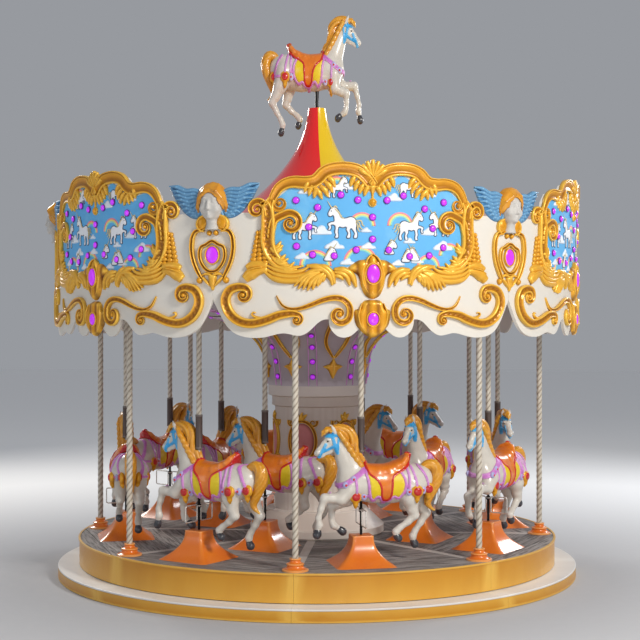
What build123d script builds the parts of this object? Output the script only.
from build123d import *
from math import degrees, hypot, sin
import os

# A merry-go-round. A fixed plinth and mast carry one turning assembly: the deck,
# the column, the poles, the roof and the decorated boards round its rim. Twelve
# horses ride on it, each lifted by a cylinder hidden in its pedestal.
#
# Frame: origin on the ground at the centre, +Z up, -Y the front. Angles are measured
# about +Z from +X, so the front is at -90 degrees. Every ringed part is drawn once on
# the +X side, facing outward, and then repeated round the axis.

os.makedirs("parts", exist_ok=True)

# ------------------------------------------------------------ driving dimensions
FRONT = -90
BAYS = 8
BAY = 360 / BAYS
PANELS = 6
PANEL_START = FRONT + 15
CHERUB_START = PANEL_START - 180 / PANELS
GAP = 0.5

PLINTH_RADIUS = 2826
PLINTH_TOP = 128
DECK_RADIUS = 2600
DECK_TOP = 410
PLANK_THICKNESS = 35
PLANK_PITCH = 158
PLANK_GAP = 5
STRIP_WIDTH = 90

POLE_RING = 2444
POLE_DIAMETER = 62
GUIDE_DIAMETER = 56

OUTER_RING = 2105
OUTER_HORSES = 8
OUTER_START = FRONT + 16.35
INNER_RING = 1225
INNER_HORSES = 4
INNER_START = FRONT - 21.2
HORSE_TRAVEL = 250

SHAFT_RADIUS = 466
COLUMN_WALL = 12
FLARE_FOOT = 2035
FLARE_TOP = 2780
CEILING_RADIUS = 2740
SWEEP_BOTTOM = 3150
SWEEP_HEIGHT = 110

BOARD_RADIUS = 2800
BOARD_THICKNESS = 25
BOARD_FACE = BOARD_RADIUS + BOARD_THICKNESS
PICTURE_THICKNESS = 4
FRAME_DEPTH = 45

MAST_RADIUS = 84
MAST_CLEARANCE = 0.3
DRUM_RADIUS = 640
WHEEL_RADIUS = 150
WHEEL_CLEARANCE = 0.3
WHEEL_ANGLE = FRONT + BAY / 2

CANOPY_TOP = 5093
CANOPY_SKIN = 8
FINIAL_POLE_DIAMETER = 41

# Upright plane on the +X side that faces outward: sketch x runs round the rim
# (counter-clockwise from above) and sketch y is height.
FACING = Plane(origin=(0, 0, 0), x_dir=(0, 1, 0), z_dir=(1, 0, 0))
# Upright plane through the axis: sketch x is the radius and sketch y is height.
RADIAL = Plane.XZ
# Round members stand on the level that they are placed at.
UPRIGHT = (Align.CENTER, Align.CENTER, Align.MIN)


def save(builder, name):
    """Label one finished sub-part and write it as its own file."""
    builder.part.label = name
    export_step(builder.part, f"parts/{name}.step")


def on_rim(distance, height, radius=BOARD_FACE):
    """A point of a rim outline, from its distance along the arc to the facing plane."""
    return radius * sin(distance / radius), height


def rim_outline(points):
    """Both halves of a symmetric rim outline, as one closed list of points."""
    right = [on_rim(*point) for point in points]
    left = [(-x, y) for x, y in reversed(right) if x > 0]
    return right + left


def trumpet(height):
    """Outer radius of the flare and ceiling at a height above the flare's foot."""
    rise = height - FLARE_FOOT
    return 540 + 0.12 * rise + 141 * (rise / 565) ** 4.74


def trumpet_height(radius):
    """Height at which the flare and ceiling reach a radius."""
    low, high = FLARE_FOOT, FLARE_FOOT + 1100
    for _ in range(40):
        middle = (low + high) / 2
        low, high = (middle, high) if trumpet(middle) < radius else (low, middle)
    return low


# ------------------------------------------------------------ fixed base
FRAME_BOTTOM = 40
FRAME_TOP = 108
ARM_WIDTH = 70
ARM_TIP = 2780
FRAME_BAR = 60
FRAME_RINGS = (2740, 2200, 1700, 1200, 700)
FOOT_RADIUS = 45
FOOT_HEIGHT = 12
FEET_RING = 2680
INNER_FEET_RING = 1400
FLANGE_RADIUS = 300
FLANGE_THICKNESS = 20
MAST_TOP = 3310
MAST_RIB_REACH = 150
MAST_RIB_THICKNESS = 16
ANCHOR_RING = 260
ANCHOR_HOLE_RADIUS = 9
SEAT_RADIUS = 235
SLEW_BOTTOM = 190
SLEW_SPLIT = 220
SLEW_TOP = 255
STEM_RADIUS = 12

with BuildPart() as centre_mast:
    Cylinder(FLANGE_RADIUS, FLANGE_THICKNESS, align=UPRIGHT)
    Cylinder(MAST_RADIUS, MAST_TOP, align=UPRIGHT)
    with BuildSketch(Plane.XY.offset(FLANGE_THICKNESS)):
        with PolarLocations(0, BAYS, start_angle=FRONT):
            with Locations((MAST_RIB_REACH, 0)):
                Rectangle(MAST_RIB_REACH, MAST_RIB_THICKNESS)
    extrude(amount=MAST_RIB_REACH)
    with PolarLocations(ANCHOR_RING, BAYS, start_angle=WHEEL_ANGLE):
        Hole(ANCHOR_HOLE_RADIUS)
    with BuildSketch(Plane.XY.offset(FLANGE_THICKNESS + MAST_RIB_REACH)):
        Circle(SEAT_RADIUS)
        Circle(MAST_RADIUS, mode=Mode.SUBTRACT)
    extrude(amount=SLEW_BOTTOM - FLANGE_THICKNESS - MAST_RIB_REACH)
save(centre_mast, "centre_mast")

with BuildPart() as slew_ring_fixed:
    with BuildSketch(Plane.XY.offset(SLEW_BOTTOM)):
        Circle(230)
        Circle(160, mode=Mode.SUBTRACT)
    extrude(amount=SLEW_SPLIT - SLEW_BOTTOM)
save(slew_ring_fixed, "slew_ring_fixed")

with BuildPart() as slew_ring_turning:
    with BuildSketch(Plane.XY.offset(SLEW_SPLIT + GAP)):
        Circle(240)
        Circle(150, mode=Mode.SUBTRACT)
    extrude(amount=SLEW_TOP - SLEW_SPLIT - GAP)
save(slew_ring_turning, "slew_ring_turning")

with BuildPart() as base_frame:
    with BuildSketch(Plane.XY.offset(FRAME_BOTTOM)):
        with PolarLocations(0, BAYS, start_angle=FRONT):
            with Locations(((FLANGE_RADIUS + ARM_TIP) / 2, 0)):
                Rectangle(ARM_TIP - FLANGE_RADIUS, ARM_WIDTH)
    extrude(amount=FRAME_TOP - FRAME_BOTTOM)
    with BuildSketch(Plane.XY.offset(FRAME_BOTTOM)):
        for ring in FRAME_RINGS:
            RegularPolygon(ring, BAYS, rotation=BAY)
            RegularPolygon(ring - FRAME_BAR, BAYS, rotation=BAY, mode=Mode.SUBTRACT)
        with PolarLocations(0, BAYS, start_angle=FRONT):
            with Locations((ARM_TIP / 2, 0)):
                Rectangle(ARM_TIP + FLANGE_RADIUS, ARM_WIDTH + 2 * GAP, mode=Mode.SUBTRACT)
    extrude(amount=FRAME_TOP - FRAME_BOTTOM)
save(base_frame, "base_frame")

with BuildPart() as levelling_feet:
    for ring in (FEET_RING, INNER_FEET_RING):
        with PolarLocations(ring, BAYS, start_angle=FRONT):
            Cylinder(FOOT_RADIUS, FOOT_HEIGHT, align=UPRIGHT)
            Cylinder(STEM_RADIUS, FRAME_BOTTOM, align=UPRIGHT)
save(levelling_feet, "levelling_feet")


def arc_segment(inner, outer, sweep):
    """One segment of a ring, centred on +X, as a face in the current sketch."""
    half = sweep / 2
    arcs = [Edge.make_circle(radius, start_angle=-half, end_angle=half)
            for radius in (inner, outer)]
    ends = [Edge.make_line(arcs[0] @ end, arcs[1] @ end) for end in (0, 1)]
    make_face(arcs + ends)


SEGMENT_SEAM = 0.04
PLINTH_BOTTOM = 4
PLINTH_SKIN = 14
SKIRTING_HEIGHT = 22
TREAD_INNER = 2480
NOSING = 8

with BuildPart() as plinth_segment:
    with BuildSketch(Plane.XY.offset(PLINTH_BOTTOM)):
        arc_segment(PLINTH_RADIUS - PLINTH_SKIN, PLINTH_RADIUS - 2, BAY - SEGMENT_SEAM)
    extrude(amount=FRAME_TOP - PLINTH_BOTTOM)
    with BuildSketch(Plane.XY.offset(PLINTH_BOTTOM)):
        arc_segment(PLINTH_RADIUS - PLINTH_SKIN, PLINTH_RADIUS, BAY - SEGMENT_SEAM)
    extrude(amount=SKIRTING_HEIGHT)
with BuildPart() as plinth_fascia:
    with PolarLocations(0, BAYS, start_angle=WHEEL_ANGLE):
        add(plinth_segment.part)
save(plinth_fascia, "plinth_fascia")

with BuildPart() as tread_segment:
    with BuildSketch(Plane.XY.offset(FRAME_TOP)):
        arc_segment(TREAD_INNER, PLINTH_RADIUS, BAY - SEGMENT_SEAM)
    extrude(amount=PLINTH_TOP - FRAME_TOP)
    nosing = tread_segment.edges().filter_by(GeomType.CIRCLE).sort_by(SortBy.RADIUS)[-2:]
    fillet(nosing, NOSING)
with BuildPart() as plinth_tread:
    with PolarLocations(0, BAYS, start_angle=WHEEL_ANGLE):
        add(tread_segment.part)
save(plinth_tread, "plinth_tread")

# ------------------------------------------------------------ friction drive
DRIVE_RING = DRUM_RADIUS + WHEEL_RADIUS + WHEEL_CLEARANCE
WHEEL_BOTTOM = 165
WHEEL_WIDTH = 60
DRIVE_SHAFT = 15
MOTOR_RADIUS = 80
MOTOR_BOTTOM = 20
TYRE_ROUND = 12

with BuildPart() as drive_motor:
    with PolarLocations(DRIVE_RING, 1, start_angle=WHEEL_ANGLE):
        with Locations((50, 0, FRAME_TOP)):
            Box(500, 190, 14, align=UPRIGHT)
        with Locations((0, 0, FRAME_TOP)):
            Cylinder(70, 45, align=UPRIGHT)
        with Locations((0, 0, MOTOR_BOTTOM)):
            Cylinder(MOTOR_RADIUS, FRAME_TOP - MOTOR_BOTTOM, align=UPRIGHT)
        with Locations((0, 0, FRAME_TOP)):
            Cylinder(DRIVE_SHAFT, 125, align=UPRIGHT)
save(drive_motor, "drive_motor")

with BuildPart() as drive_wheel:
    with PolarLocations(DRIVE_RING, 1, start_angle=WHEEL_ANGLE):
        with Locations((0, 0, WHEEL_BOTTOM)):
            Cylinder(WHEEL_RADIUS, WHEEL_WIDTH, align=UPRIGHT)
        with Locations((0, 0, WHEEL_BOTTOM + WHEEL_WIDTH / 2)):
            Cylinder(DRIVE_SHAFT + 0.05, WHEEL_WIDTH, mode=Mode.SUBTRACT)
    round_edges = drive_wheel.edges().filter_by(
        lambda edge: edge.geom_type == GeomType.CIRCLE and edge.radius > WHEEL_RADIUS / 2
    )
    fillet(round_edges, TYRE_ROUND)
save(drive_wheel, "drive_wheel")

# ------------------------------------------------------------ deck
BEAM_BOTTOM = 255
BEAM_TOP = DECK_TOP - PLANK_THICKNESS
BEAM_WIDTH = 80
HUB_RADIUS = 400
CYLINDER_HOLE = 36
PLANK_START = 690
SPOKE_END = 2560
DECK_RINGS = (SPOKE_END, 2010, 1520, 1090, PLANK_START)
DRUM_WALL = 15
DRUM_DROP = 10
BOARD_EDGE = DECK_RADIUS - 16

with BuildPart() as deck_frame:
    with BuildSketch(Plane.XY.offset(BEAM_BOTTOM)):
        with PolarLocations(0, BAYS, start_angle=FRONT):
            with Locations(((HUB_RADIUS + GAP + SPOKE_END) / 2, 0)):
                Rectangle(SPOKE_END - HUB_RADIUS - GAP, BEAM_WIDTH)
        for ring in DECK_RINGS:
            RegularPolygon(ring, BAYS, rotation=BAY)
            RegularPolygon(ring - FRAME_BAR, BAYS, rotation=BAY, mode=Mode.SUBTRACT)
            with PolarLocations(0, BAYS, start_angle=FRONT):
                for side in (-1, 1):
                    with Locations((ring - FRAME_BAR / 2, side * (BEAM_WIDTH + GAP) / 2)):
                        Rectangle(240, GAP, mode=Mode.SUBTRACT)
    extrude(amount=BEAM_TOP - BEAM_BOTTOM)
    with BuildSketch(Plane.XY.offset(BEAM_BOTTOM)):
        Circle(HUB_RADIUS)
        Circle(MAST_RADIUS + 40, mode=Mode.SUBTRACT)
    extrude(amount=BEAM_TOP - BEAM_BOTTOM)
    with BuildSketch(Plane.XY.offset(WHEEL_BOTTOM - DRUM_DROP)):
        Circle(DRUM_RADIUS)
        Circle(DRUM_RADIUS - DRUM_WALL, mode=Mode.SUBTRACT)
    extrude(amount=BEAM_BOTTOM - WHEEL_BOTTOM + DRUM_DROP)
save(deck_frame, "deck_frame")

HORSE_RINGS = (
    PolarLocations(OUTER_RING, OUTER_HORSES, start_angle=OUTER_START),
    PolarLocations(INNER_RING, INNER_HORSES, start_angle=INNER_START),
)
HORSE_PLACES = [place for ring in HORSE_RINGS for place in ring.local_locations]

with BuildPart() as bay_of_planks:
    with BuildSketch(Plane.XY.offset(BEAM_TOP)):
        plank_count = int((DECK_RADIUS - PLANK_START) / PLANK_PITCH) + 1
        for row in range(plank_count):
            with Locations((PLANK_START + (row + 0.5) * PLANK_PITCH, 0)):
                Rectangle(PLANK_PITCH - PLANK_GAP, DECK_RADIUS)
        with BuildSketch(mode=Mode.INTERSECT):
            arc_segment(PLANK_START, BOARD_EDGE, BAY)
        for side in (-1, 1):
            along = Vector(1, 0).rotate(Axis.Z, side * BAY / 2)
            with Locations(Location(along * (DECK_RADIUS / 2), (0, 0, side * BAY / 2))):
                Rectangle(DECK_RADIUS, STRIP_WIDTH + 2, mode=Mode.SUBTRACT)
    extrude(amount=PLANK_THICKNESS)
with BuildPart() as deck_boards:
    with PolarLocations(0, BAYS, start_angle=WHEEL_ANGLE):
        add(bay_of_planks.part)
    with Locations(*HORSE_PLACES):
        Cylinder(CYLINDER_HOLE, 3 * DECK_TOP, mode=Mode.SUBTRACT)
save(deck_boards, "deck_boards")

with BuildPart() as deck_strips:
    with BuildSketch(Plane.XY.offset(BEAM_TOP)):
        with PolarLocations(0, BAYS, start_angle=FRONT):
            with Locations(((PLANK_START + BOARD_EDGE) / 2, 0)):
                Rectangle(BOARD_EDGE - PLANK_START, STRIP_WIDTH)
    extrude(amount=PLANK_THICKNESS)
save(deck_strips, "deck_strips")

FASCIA_SKIN = 12
FASCIA_CLEARANCE = 7
FASCIA_LIP = 10
LIP_HEIGHT = 18

with BuildPart() as fascia_segment:
    with BuildSketch(Plane.XY.offset(PLINTH_TOP + FASCIA_CLEARANCE)):
        arc_segment(DECK_RADIUS - FASCIA_SKIN, DECK_RADIUS, BAY - SEGMENT_SEAM)
    extrude(amount=DECK_TOP - PLINTH_TOP - FASCIA_CLEARANCE)
    with BuildSketch(Plane.XY.offset(DECK_TOP - LIP_HEIGHT + 2)):
        arc_segment(DECK_RADIUS - FASCIA_SKIN, DECK_RADIUS + FASCIA_LIP, BAY - SEGMENT_SEAM)
    extrude(amount=LIP_HEIGHT)
with BuildPart() as platform_fascia:
    with PolarLocations(0, BAYS, start_angle=WHEEL_ANGLE):
        add(fascia_segment.part)
save(platform_fascia, "platform_fascia")

# ------------------------------------------------------------ outer poles
BASE_HEIGHT = 118

with BuildPart() as outer_poles:
    with BuildSketch(Plane.XY.offset(DECK_TOP)):
        with PolarLocations(POLE_RING, BAYS, start_angle=FRONT):
            Circle(POLE_DIAMETER / 2)
    extrude(amount=SWEEP_BOTTOM - DECK_TOP)
save(outer_poles, "outer_poles")

with BuildPart() as pole_base:
    with BuildSketch(RADIAL):
        with BuildLine():
            bore = POLE_DIAMETER / 2 + GAP
            Polyline((bore, 0), (125, 0), (125, 14), (112, 20))
            Spline((112, 20), (86, 32), (78, 52), (84, 60))
            Polyline((84, 60), (84, 68), (70, 74))
            Spline((70, 74), (54, 84), (50, 100), (56, 108))
            Polyline((56, 108), (54, BASE_HEIGHT), (bore, BASE_HEIGHT), (bore, 0))
        make_face()
    revolve(axis=Axis.Z)
with BuildPart() as pole_bases:
    with PolarLocations(POLE_RING, BAYS, start_angle=FRONT):
        with Locations((0, 0, DECK_TOP)):
            add(pole_base.part)
save(pole_bases, "pole_bases")

# ------------------------------------------------------------ horse lift
PEDESTAL_BASE = 620
PEDESTAL_TOP_WIDTH = 225
PEDESTAL_HEIGHT = 277
PEDESTAL_SKIN = 6
CYLINDER_BOTTOM = 160
CYLINDER_TOP = DECK_TOP + PEDESTAL_HEIGHT - 20
PISTON_BOTTOM = 200
PISTON_RADIUS = 22.5
PISTON_LENGTH = 40
ROD_RADIUS = 13
SLEEVE_RADIUS = 36
SLEEVE_BOTTOM = 1486
SLEEVE_TOP = 1820
PLUG_THICKNESS = 20
GUIDE_BOTTOM = SLEEVE_BOTTOM + PLUG_THICKNESS + HORSE_TRAVEL + 4


def pedestal_width(rise):
    """Width of the flared pedestal at a height above the deck."""
    spread = (1 - rise / PEDESTAL_HEIGHT) ** 1.8
    return PEDESTAL_TOP_WIDTH + (PEDESTAL_BASE - PEDESTAL_TOP_WIDTH) * spread


PEDESTAL_STEPS = [PEDESTAL_HEIGHT * step / 5 for step in range(6)]

with BuildPart() as pedestal:
    for inset in (0, PEDESTAL_SKIN):
        for rise in PEDESTAL_STEPS:
            with BuildSketch(Plane.XY.offset(rise)):
                Rectangle(pedestal_width(rise) - 2 * inset, pedestal_width(rise) - 2 * inset)
        loft(ruled=True, mode=Mode.SUBTRACT if inset else Mode.ADD)
    with BuildSketch(Plane.XY.offset(PEDESTAL_HEIGHT - PEDESTAL_SKIN)):
        Rectangle(PEDESTAL_TOP_WIDTH - 2, PEDESTAL_TOP_WIDTH - 2)
        Circle(22, mode=Mode.SUBTRACT)
    extrude(amount=PEDESTAL_SKIN)
with BuildPart() as pedestals:
    with Locations(*HORSE_PLACES):
        with Locations((0, 0, DECK_TOP)):
            add(pedestal.part)
save(pedestals, "pedestals")

with BuildPart() as lift_cylinder:
    with BuildSketch(RADIAL):
        with BuildLine():
            Polyline(
                (0, CYLINDER_BOTTOM),
                (30, CYLINDER_BOTTOM),
                (30, DECK_TOP),
                (70, DECK_TOP),
                (70, DECK_TOP + 8),
                (30, DECK_TOP + 8),
                (30, CYLINDER_TOP),
                (ROD_RADIUS + GAP, CYLINDER_TOP),
                (ROD_RADIUS + GAP, CYLINDER_TOP - 15),
                (23, CYLINDER_TOP - 15),
                (23, CYLINDER_BOTTOM + 12),
                (0, CYLINDER_BOTTOM + 12),
                (0, CYLINDER_BOTTOM),
            )
        make_face()
    revolve(axis=Axis.Z)
with BuildPart() as lift_cylinders:
    with Locations(*HORSE_PLACES):
        add(lift_cylinder.part)
save(lift_cylinders, "lift_cylinders")

with BuildPart() as guide_poles:
    with BuildSketch(Plane.XY.offset(GUIDE_BOTTOM)):
        with Locations(*HORSE_PLACES):
            Circle(GUIDE_DIAMETER / 2)
    extrude(amount=SWEEP_BOTTOM - GUIDE_BOTTOM)
save(guide_poles, "guide_poles")

# The pole set that rises with a horse: piston, rod, sleeve and foot-rest. The loops
# of the foot-rest stand across the horse, one at each side.
LOOP_REACH = 215
LOOP_INNER = 24
LOOP_TOP = 945
LOOP_BOTTOM = 772
LOOP_BAR = 6
CLAMP_HEIGHT = 34
CLAMP_DROP = 37

with BuildPart() as pole_set:
    with BuildSketch(Plane.XY.offset(PISTON_BOTTOM)):
        Circle(PISTON_RADIUS)
    extrude(amount=PISTON_LENGTH)
    with BuildSketch(Plane.XY.offset(PISTON_BOTTOM)):
        Circle(ROD_RADIUS)
    extrude(amount=SLEEVE_BOTTOM - PISTON_BOTTOM - 0.1)
    with BuildSketch(Plane.XY.offset(SLEEVE_BOTTOM)):
        Circle(SLEEVE_RADIUS)
    extrude(amount=SLEEVE_TOP - SLEEVE_BOTTOM)
    with BuildSketch(Plane.XY.offset(SLEEVE_BOTTOM + PLUG_THICKNESS)):
        Circle(GUIDE_DIAMETER / 2 + 1)
    extrude(amount=SLEEVE_TOP - SLEEVE_BOTTOM, mode=Mode.SUBTRACT)
    with BuildSketch(RADIAL.offset(-LOOP_BAR)):
        for side in (-1, 1):
            with Locations((side * (LOOP_REACH + LOOP_INNER) / 2, (LOOP_TOP + LOOP_BOTTOM) / 2)):
                RectangleRounded(LOOP_REACH - LOOP_INNER, LOOP_TOP - LOOP_BOTTOM, 22)
                RectangleRounded(
                    LOOP_REACH - LOOP_INNER - 4 * LOOP_BAR,
                    LOOP_TOP - LOOP_BOTTOM - 4 * LOOP_BAR,
                    12,
                    mode=Mode.SUBTRACT,
                )
        with Locations((0, LOOP_TOP - 20)):
            Rectangle(2 * (LOOP_INNER + LOOP_BAR), CLAMP_HEIGHT)
            Rectangle(2 * (ROD_RADIUS + GAP), CLAMP_HEIGHT, mode=Mode.SUBTRACT)
    extrude(amount=2 * LOOP_BAR)
    with BuildSketch(Plane.XY.offset(LOOP_TOP - CLAMP_DROP)):
        Circle(ROD_RADIUS + 9)
        Circle(ROD_RADIUS + GAP, mode=Mode.SUBTRACT)
    extrude(amount=CLAMP_HEIGHT)

# ------------------------------------------------------------ horse
# The carved horse lies along Y with its nose at -Y, its tail at +Y and the pole through
# its withers at the origin. Heights are above the ground in the lowest position.
HOOF_LEVEL = 525
SLEEVE_ROOM = 6


def horse_point(side, along, height, stretch):
    """A joint of the carved horse, stretched in length and in height above its hooves."""
    length_factor, height_factor = stretch
    return Vector(side, along * length_factor, (height - HOOF_LEVEL) * height_factor)


def limb(joints, stretch):
    """Tapered round member through a chain of joints: side, along, height and radius."""
    points = [horse_point(*joint[:3], stretch) for joint in joints]
    sections = []
    for index, joint in enumerate(joints):
        before = points[max(index - 1, 0)]
        after = points[min(index + 1, len(points) - 1)]
        section = Plane(origin=points[index], x_dir=(1, 0, 0), z_dir=after - before)
        sections.append(Face(Wire.make_circle(joint[3], section)))
    loft(sections, ruled=True)


FORELEGS = (
    ((75, -90, 1110, 88), (92, -205, 1035, 54), (92, -355, 1052, 46), (92, -440, 890, 33),
     (92, -425, 800, 30), (92, -432, 735, 40)),
    ((-75, -100, 1115, 84), (-92, -92, 1010, 54), (-92, -262, 962, 46), (-92, -262, 790, 32),
     (-92, -215, 742, 29), (-92, -160, 715, 38)),
)
HINDLEGS = (
    ((-80, 520, 1150, 110), (-92, 545, 1010, 74), (-92, 668, 868, 42), (-92, 560, 680, 33),
     (-92, 535, 620, 30), (-92, 560, 566, 40)),
    ((80, 440, 1150, 110), (92, 430, 1000, 74), (92, 500, 872, 42), (92, 345, 765, 33),
     (92, 318, 715, 30), (92, 345, 668, 40)),
)
NECK = ((0, -90, 1200, 128), (0, -150, 1390, 104), (0, -190, 1540, 76), (0, -262, 1632, 60))
HEAD = ((0, -262, 1632, 66), (0, -330, 1560, 56), (0, -405, 1482, 38), (0, -425, 1462, 34))
TRUNK = ((0, -225, 1190, 78), (0, -130, 1195, 130), (0, 60, 1182, 158), (0, 300, 1172, 152),
         (0, 540, 1196, 142), (0, 640, 1200, 92))
TAIL = ((0, 625, 1270, 36), (0, 710, 1330, 52), (0, 745, 1240, 58), (0, 700, 1120, 52),
        (0, 655, 1030, 44), (0, 680, 940, 26), (0, 720, 905, 14))
MANE = ((0, -330, 1690, 30), (0, -240, 1712, 36), (0, -120, 1650, 44), (0, -60, 1560, 47),
        (0, -30, 1460, 45), (0, 5, 1370, 34))
SADDLE = ((0, 95, 1290, 92), (0, 250, 1262, 108), (0, 400, 1316, 92), (0, 445, 1420, 30))
EARS = (((-34, -268, 1680, 20), (-40, -298, 1742, 6)), ((34, -268, 1680, 20), (40, -298, 1742, 6)))


def carved_horse(stretch):
    """One horse: trunk, neck, head, mane, tail, saddle, ears and four legs."""
    for chain in (TRUNK, NECK, HEAD, TAIL, MANE, SADDLE, *EARS, *FORELEGS, *HINDLEGS):
        limb(chain, stretch)


with BuildPart() as horse_shape:
    carved_horse((1, 1))
    Cylinder(ROD_RADIUS + GAP, 2 * DECK_RADIUS, mode=Mode.SUBTRACT)
    with Locations((0, 0, SLEEVE_BOTTOM - SLEEVE_ROOM - HOOF_LEVEL)):
        Cylinder(
            SLEEVE_RADIUS + SLEEVE_ROOM,
            SLEEVE_TOP - SLEEVE_BOTTOM,
            align=UPRIGHT,
            mode=Mode.SUBTRACT,
        )

for number, place in enumerate(HORSE_PLACES, start=1):
    with BuildPart() as horse:
        with Locations(place):
            with Locations((0, 0, HOOF_LEVEL)):
                add(horse_shape.part)
    save(horse, f"horse_{number:02d}")
    with BuildPart() as horse_pole:
        with Locations(place):
            add(pole_set.part)
    save(horse_pole, f"horse_{number:02d}_pole")

# ------------------------------------------------------------ column
SHAFT_BORE = SHAFT_RADIUS - COLUMN_WALL
SHAFT_FOOT = 680

with BuildPart() as column_base:
    with BuildSketch(RADIAL):
        with BuildLine():
            Polyline(
                (722, DECK_TOP),
                (740, DECK_TOP + 18),
                (740, DECK_TOP + 90),
                (722, DECK_TOP + 105),
                (560, 668),
                (554, SHAFT_FOOT),
                (SHAFT_BORE, SHAFT_FOOT),
                (SHAFT_BORE, 668),
                (548, 665),
                (706, DECK_TOP + 98),
                (706, DECK_TOP),
                (722, DECK_TOP),
            )
        make_face()
    revolve(axis=Axis.Z)
save(column_base, "column_base")

with BuildPart() as column_casing:
    with BuildSketch(RADIAL):
        with BuildLine():
            Polyline(
                (SHAFT_BORE, SHAFT_FOOT),
                (SHAFT_RADIUS, SHAFT_FOOT),
                (SHAFT_RADIUS, 1800),
                (499, 1815),
                (499, 1912),
                (540, 1928),
                (540, FLARE_FOOT),
                (SHAFT_BORE, FLARE_FOOT),
                (SHAFT_BORE, SHAFT_FOOT),
            )
        make_face()
    revolve(axis=Axis.Z)
save(column_casing, "column_casing")


FLARE_SKIN = 8
RIM_HEIGHT = trumpet_height(CEILING_RADIUS)


def trumpet_curves(low, high, steps=6):
    """Points of the outer and inner curves of the flare's skin between two heights."""
    heights = [low + (high - low) * step / steps for step in range(steps + 1)]
    outside = [(trumpet(height), height) for height in heights]
    inside = [(radius - FLARE_SKIN, height + FLARE_SKIN) for radius, height in outside]
    return outside, inside


with BuildPart() as column_flare:
    with BuildSketch(RADIAL):
        with BuildLine():
            outside, inside = trumpet_curves(FLARE_FOOT + GAP, FLARE_TOP)
            Spline(*outside)
            Spline(*inside)
            Line(outside[0], inside[0])
            Line(outside[-1], inside[-1])
        make_face()
    revolve(axis=Axis.Z)
save(column_flare, "column_flare")

with BuildPart() as ceiling:
    with BuildSketch(RADIAL):
        with BuildLine():
            outside, inside = trumpet_curves(FLARE_TOP + 2 * FLARE_SKIN, RIM_HEIGHT)
            Spline(*outside)
            Spline(*inside)
            Line(outside[0], inside[0])
            Line(outside[-1], inside[-1])
        make_face()
    revolve(axis=Axis.Z)
    with Locations(*HORSE_PLACES):
        Cylinder(GUIDE_DIAMETER / 2 + 2, 2 * CANOPY_TOP, mode=Mode.SUBTRACT)
    with PolarLocations(POLE_RING, BAYS, start_angle=FRONT):
        Cylinder(POLE_DIAMETER / 2 + 2, 2 * CANOPY_TOP, mode=Mode.SUBTRACT)
save(ceiling, "ceiling")

# Lamps stand square to the flare on a narrow strip at each pole angle.
LAMP_PITCH = 165
LAMP_RADIUS = 32
LAMP_HEIGHT = 22
FIRST_LAMP = 2138
COLUMN_LAMPS = 14


def lamp_heights():
    """Heights of the lamps, evenly spaced along the curve of the flare."""
    heights = [FIRST_LAMP]
    travelled = 0
    height = FIRST_LAMP
    while len(heights) < COLUMN_LAMPS:
        step = 1.0
        travelled += hypot(step, trumpet(height + step) - trumpet(height))
        height += step
        if travelled >= LAMP_PITCH:
            travelled = 0
            heights.append(height)
    return heights


with BuildPart() as lamp_column:
    for height in lamp_heights():
        slope = trumpet(height + 1) - trumpet(height - 1)
        normal = Vector(2, 0, -slope).normalized()
        foot = Vector(trumpet(height), 0, height) + normal * 2
        with Locations(Plane(origin=foot, z_dir=normal).location):
            Cylinder(LAMP_RADIUS, LAMP_HEIGHT, align=UPRIGHT)
with BuildPart() as column_lamps:
    with PolarLocations(0, BAYS, start_angle=FRONT):
        add(lamp_column.part)
save(column_lamps, "column_lamps")

with BuildPart() as gilt_drop:
    with BuildSketch(FACING.offset(SHAFT_RADIUS)):
        with BuildLine():
            Polyline((0, 2120), (60, 2215), (110, 2250), (45, 2290), (0, 2330))
            Polyline((0, 2330), (-45, 2290), (-110, 2250), (-60, 2215), (0, 2120))
        make_face()
    extrude(amount=300)
    with BuildSketch(RADIAL):
        with BuildLine():
            drop_heights = (2100, 2180, 2260, 2340)
            near = [(trumpet(height) + 6, height) for height in drop_heights]
            far = [(trumpet(height) + 22, height) for height in drop_heights]
            Polyline(*near, *reversed(far), near[0])
        make_face()
    revolve(axis=Axis.Z, mode=Mode.INTERSECT)
with BuildPart() as column_gilding:
    with PolarLocations(0, BAYS, start_angle=WHEEL_ANGLE):
        add(gilt_drop.part)
save(column_gilding, "column_gilding")

with BuildPart() as cartouche:
    with BuildSketch(FACING.offset(SHAFT_RADIUS - 60)):
        with Locations((0, 1440)):
            Ellipse(190, 250)
    extrude(amount=130)
    with BuildSketch(Plane.XY.offset(1100)):
        Circle(SHAFT_RADIUS + 34)
        Circle(SHAFT_RADIUS + GAP, mode=Mode.SUBTRACT)
    extrude(amount=700, mode=Mode.INTERSECT)
with BuildPart() as column_cartouches:
    with PolarLocations(0, PANELS, start_angle=CHERUB_START):
        add(cartouche.part)
save(column_cartouches, "column_cartouches")

# ------------------------------------------------------------ roof
SWEEP_WIDTH = 60
SWEEP_START = 182
SWEEP_END = 2760
SWEEP_RINGS = (SWEEP_END, 2320, 1850, 1380, 900)
TIE_WIDTH = 110
HUB_POST = 60
SOCKET_DEPTH = 380
POLE_RADIUS = FINIAL_POLE_DIAMETER / 2
POST_TOP = CANOPY_TOP - 13

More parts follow.
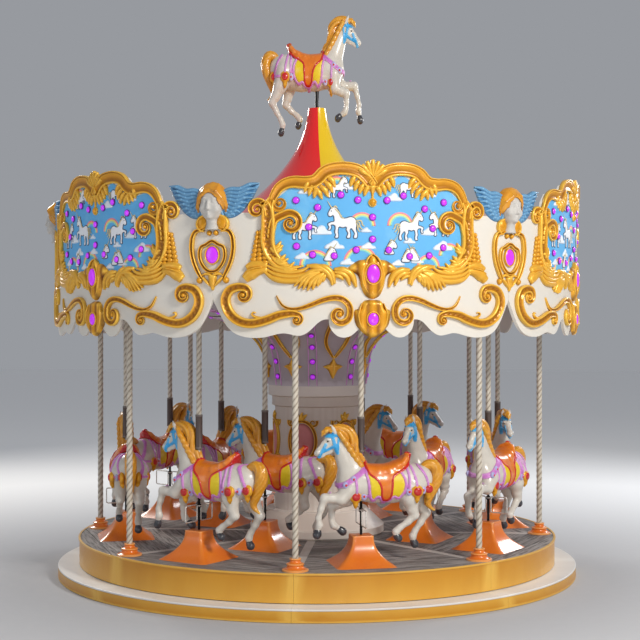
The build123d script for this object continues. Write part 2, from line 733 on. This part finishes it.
with BuildPart() as roof_hub:
    with BuildSketch(RADIAL):
        with BuildLine():
            sleeve = MAST_RADIUS + MAST_CLEARANCE
            Polyline(
                (sleeve, SWEEP_BOTTOM),
                (180, SWEEP_BOTTOM),
                (180, SWEEP_BOTTOM + SWEEP_HEIGHT),
                (HUB_POST + 60, SWEEP_BOTTOM + SWEEP_HEIGHT + 60),
                (HUB_POST, 3480),
                (HUB_POST, POST_TOP),
                (POLE_RADIUS + 0.05, POST_TOP),
                (POLE_RADIUS + 0.05, POST_TOP - SOCKET_DEPTH),
                (0, POST_TOP - SOCKET_DEPTH),
                (0, MAST_TOP + 10),
                (sleeve, MAST_TOP + 10),
                (sleeve, SWEEP_BOTTOM),
            )
        make_face()
    revolve(axis=Axis.Z)
save(roof_hub, "roof_hub")

with BuildPart() as roof_sweeps:
    with BuildSketch(Plane.XY.offset(SWEEP_BOTTOM)):
        with PolarLocations(0, BAYS, start_angle=FRONT):
            with Locations(((SWEEP_START + SWEEP_END) / 2, 0)):
                Rectangle(SWEEP_END - SWEEP_START, SWEEP_WIDTH)
        for ring in SWEEP_RINGS:
            RegularPolygon(ring, BAYS, rotation=BAY)
            RegularPolygon(ring - TIE_WIDTH, BAYS, rotation=BAY, mode=Mode.SUBTRACT)
            with PolarLocations(0, BAYS, start_angle=FRONT):
                for side in (-1, 1):
                    with Locations((ring - 60, side * (SWEEP_WIDTH + GAP) / 2)):
                        Rectangle(260, GAP, mode=Mode.SUBTRACT)
    extrude(amount=SWEEP_HEIGHT)
save(roof_sweeps, "roof_sweeps")

GORES = 4
GORE_SEAM_ANGLE = 10.75
CANOPY_PROFILE = (
    (98, CANOPY_TOP),
    (150, 4843),
    (227, 4651),
    (396, 4397),
    (694, 4096),
    (1150, 3830),
    (1900, 3560),
    (2750, 3400),
)

with BuildPart() as gore:
    with BuildSketch(RADIAL):
        with BuildLine():
            under = [(max(radius - CANOPY_SKIN, 62), height - CANOPY_SKIN)
                     for radius, height in CANOPY_PROFILE]
            Spline(*CANOPY_PROFILE)
            Spline(*under)
            Line(CANOPY_PROFILE[-1], under[-1])
            Polyline(CANOPY_PROFILE[0], (POLE_RADIUS + 2, CANOPY_TOP))
            Polyline((POLE_RADIUS + 2, CANOPY_TOP), (POLE_RADIUS + 2, under[0][1]), under[0])
        make_face()
    revolve(axis=Axis.Z, revolution_arc=360 / GORES - SEGMENT_SEAM)
with BuildPart() as canopy:
    with PolarLocations(0, GORES, start_angle=FRONT + GORE_SEAM_ANGLE):
        add(gore.part)
save(canopy, "canopy")

FINIAL_STRETCH = (0.87, 1.105)
FINIAL_BASE = 4770
FINIAL_SHIFT = 90
FINIAL_TURN = FRONT + 4.75 + 180
FINIAL_POLE_TOP = 5570

with BuildPart() as finial_shape:
    carved_horse(FINIAL_STRETCH)
    with Locations((0, FINIAL_SHIFT, 0)):
        Cylinder(POLE_RADIUS + GAP, 1650, mode=Mode.SUBTRACT)
with BuildPart() as finial_horse:
    with PolarLocations(0, 1, start_angle=FINIAL_TURN):
        with Locations((0, -FINIAL_SHIFT, FINIAL_BASE)):
            add(finial_shape.part)
save(finial_horse, "finial_horse")

with BuildPart() as finial_pole:
    with BuildSketch(Plane.XY.offset(POST_TOP - SOCKET_DEPTH)):
        Circle(POLE_RADIUS)
    extrude(amount=FINIAL_POLE_TOP - POST_TOP + SOCKET_DEPTH)
save(finial_pole, "finial_pole")

# ------------------------------------------------------------ rounding boards
BOARD_SEAM = 1478
BLOCK_INNER = 2380
RIM_LOW = 2500
RIM_HIGH = 4300


def rim_band(inner, outer):
    """Upright ring between two radii, which curves a flat-drawn rim piece when they meet."""
    height = RIM_HIGH - RIM_LOW
    outside = Cylinder(outer, height, align=UPRIGHT, mode=Mode.PRIVATE)
    inside = Cylinder(inner, height, align=UPRIGHT, mode=Mode.PRIVATE)
    return Pos(0, 0, RIM_LOW) * (outside - inside)


BOARD_LOBES = (
    ((0, 2690), (125, 2665), (200, 2604), (290, 2592), (360, 2640), (395, 2752)),
    ((395, 2752), (470, 2740), (560, 2660), (660, 2606), (800, 2627), (950, 2598),
     (1100, 2585), (1260, 2625), (1400, 2790), (BOARD_SEAM, 2940)),
)
BOARD_CREST = (
    (1110, 3725),
    (1050, 3700),
    (945, 3790),
    (925, 3900),
    (850, 3990),
    (700, 4030),
    (560, 4040),
    (490, 4105),
    (280, 4150),
    (110, 4115),
    (0, 4020),
)

with BuildPart() as one_board:
    with BuildSketch(FACING.offset(BLOCK_INNER)):
        with BuildLine():
            for lobe in BOARD_LOBES:
                Spline(*[on_rim(*point) for point in lobe])
            Polyline(on_rim(BOARD_SEAM, 2940), on_rim(BOARD_SEAM, 3725), on_rim(1110, 3725))
            Polyline(*[on_rim(*point) for point in BOARD_CREST])
            Line((0, 4020), (0, 2690))
        make_face()
        mirror(about=Plane.YZ)
    extrude(amount=BOARD_FACE - BLOCK_INNER + 20)
    add(rim_band(BOARD_RADIUS, BOARD_FACE), mode=Mode.INTERSECT)
with BuildPart() as rounding_boards:
    with PolarLocations(0, PANELS, start_angle=PANEL_START):
        add(one_board.part)
save(rounding_boards, "rounding_boards")

WINDOW = (
    (0, 3870),
    (90, 3900),
    (270, 4045),
    (420, 3960),
    (480, 3860),
    (610, 3890),
    (740, 3920),
    (840, 3840),
    (800, 3700),
    (900, 3560),
    (840, 3380),
    (700, 3235),
    (400, 3225),
    (150, 3270),
    (0, 3330),
)
FRAME_EDGE = (
    (0, 4030),
    (110, 4140),
    (280, 4178),
    (480, 4140),
    (560, 4065),
    (760, 4050),
    (920, 3950),
    (960, 3815),
    (1090, 3810),
    (1120, 3700),
    (1010, 3650),
    (1080, 3400),
    (1190, 3180),
    (1130, 3085),
    (980, 3115),
    (800, 3090),
    (690, 3015),
    (560, 3010),
    (420, 3080),
    (180, 3015),
    (100, 3080),
    (70, 2950),
    (0, 2935),
)
PICTURE_FACE = BOARD_FACE + PICTURE_THICKNESS

with BuildPart() as one_picture:
    with BuildSketch(FACING.offset(BLOCK_INNER)):
        Polygon(*rim_outline(WINDOW), align=None)
        offset(amount=25, kind=Kind.ARC)
    extrude(amount=BOARD_FACE - BLOCK_INNER + 60)
    add(rim_band(BOARD_FACE, PICTURE_FACE), mode=Mode.INTERSECT)
with BuildPart() as picture_panels:
    with PolarLocations(0, PANELS, start_angle=PANEL_START):
        add(one_picture.part)
save(picture_panels, "picture_panels")

with BuildPart() as one_frame:
    with BuildSketch(FACING.offset(BLOCK_INNER)):
        Polygon(*rim_outline(FRAME_EDGE), align=None)
        Polygon(*rim_outline(WINDOW), align=None, mode=Mode.SUBTRACT)
    extrude(amount=BOARD_FACE - BLOCK_INNER + 100)
    add(rim_band(PICTURE_FACE, PICTURE_FACE + FRAME_DEPTH), mode=Mode.INTERSECT)
with BuildPart() as gilt_frames:
    with PolarLocations(0, PANELS, start_angle=PANEL_START):
        add(one_frame.part)
save(gilt_frames, "gilt_frames")

OUTER_SCROLL = ((660, 2770), (760, 2825), (1000, 2745), (1200, 2745), (1350, 2880), (1290, 3040),
                (1140, 3030))
INNER_SCROLL = ((330, 2780), (215, 2780), (250, 2930), (420, 2940), (640, 2850), (860, 2950))
LOWER_SHIELD = ((0, 2925), (90, 2915), (165, 2850), (150, 2690), (60, 2600), (0, 2590))

with BuildPart() as scroll_set:
    with BuildSketch(FACING.offset(BLOCK_INNER)):
        for path, width in ((OUTER_SCROLL, 76), (INNER_SCROLL, 56)):
            with BuildLine():
                Spline(*[on_rim(*point) for point in path])
            trace(line_width=width)
        mirror(about=Plane.YZ)
        Polygon(*rim_outline(LOWER_SHIELD), align=None)
    extrude(amount=BOARD_FACE - BLOCK_INNER + 80)
    add(rim_band(BOARD_FACE, BOARD_FACE + FRAME_DEPTH), mode=Mode.INTERSECT)
with BuildPart() as lower_scrolls:
    with PolarLocations(0, PANELS, start_angle=PANEL_START):
        add(scroll_set.part)
save(lower_scrolls, "lower_scrolls")

WING = ((60, 3700), (110, 3930), (200, 3952), (330, 3955), (443, 3985), (400, 3860),
        (290, 3720), (180, 3670))
COLLAR = ((0, 3700), (150, 3690), (140, 3560), (200, 3540), (215, 3400), (160, 3220), (100, 3130),
          (150, 3095), (90, 3080), (0, 3020))

WING_DEPTH = 40
HEAD_CENTRE = (0, 3850)
HEAD_SECTIONS = ((2, 112, 150), (70, 108, 146), (105, 84, 122), (120, 50, 86))

with BuildPart() as one_cherub:
    with BuildSketch(FACING.offset(BLOCK_INNER)):
        Polygon(*[on_rim(*point) for point in WING], align=None)
        mirror(about=Plane.YZ)
        Polygon(*rim_outline(COLLAR), align=None)
        with Locations(HEAD_CENTRE):
            Ellipse(114, 152, mode=Mode.SUBTRACT)
    extrude(amount=BOARD_FACE - BLOCK_INNER + 80)
    add(rim_band(BOARD_FACE, BOARD_FACE + WING_DEPTH), mode=Mode.INTERSECT)
with BuildPart() as cherub_head:
    for reach, half_width, half_height in HEAD_SECTIONS:
        with BuildSketch(FACING.offset(BOARD_FACE + reach)):
            with Locations(HEAD_CENTRE):
                Ellipse(half_width, half_height)
    loft(ruled=True)
with BuildPart() as cherubs:
    with PolarLocations(0, PANELS, start_angle=CHERUB_START):
        add(one_cherub.part)
        add(cherub_head.part)
save(cherubs, "cherubs")

CORNICE_LAMP_RADIUS = 34
CORNICE_LAMP_DEPTH = 26
PICTURE_LAMPS = ((0, 3680), (0, 3480), (135, 3835), (290, 3880), (500, 3765), (695, 3830),
                 (580, 3588), (690, 3415), (545, 3338), (350, 3328), (150, 3383))

with BuildPart() as panel_lamps:
    for distance, height in PICTURE_LAMPS:
        for side in ((1, -1) if distance else (1,)):
            turn = degrees(side * distance / BOARD_FACE)
            outward = Vector(1, 0, 0).rotate(Axis.Z, turn)
            foot = outward * (PICTURE_FACE + GAP) + Vector(0, 0, height)
            with Locations(Plane(origin=foot, z_dir=outward).location):
                Cylinder(
                    CORNICE_LAMP_RADIUS,
                    CORNICE_LAMP_DEPTH,
                    align=UPRIGHT,
                )
with BuildPart() as cornice_lamps:
    with PolarLocations(0, PANELS, start_angle=PANEL_START):
        add(panel_lamps.part)
save(cornice_lamps, "cornice_lamps")
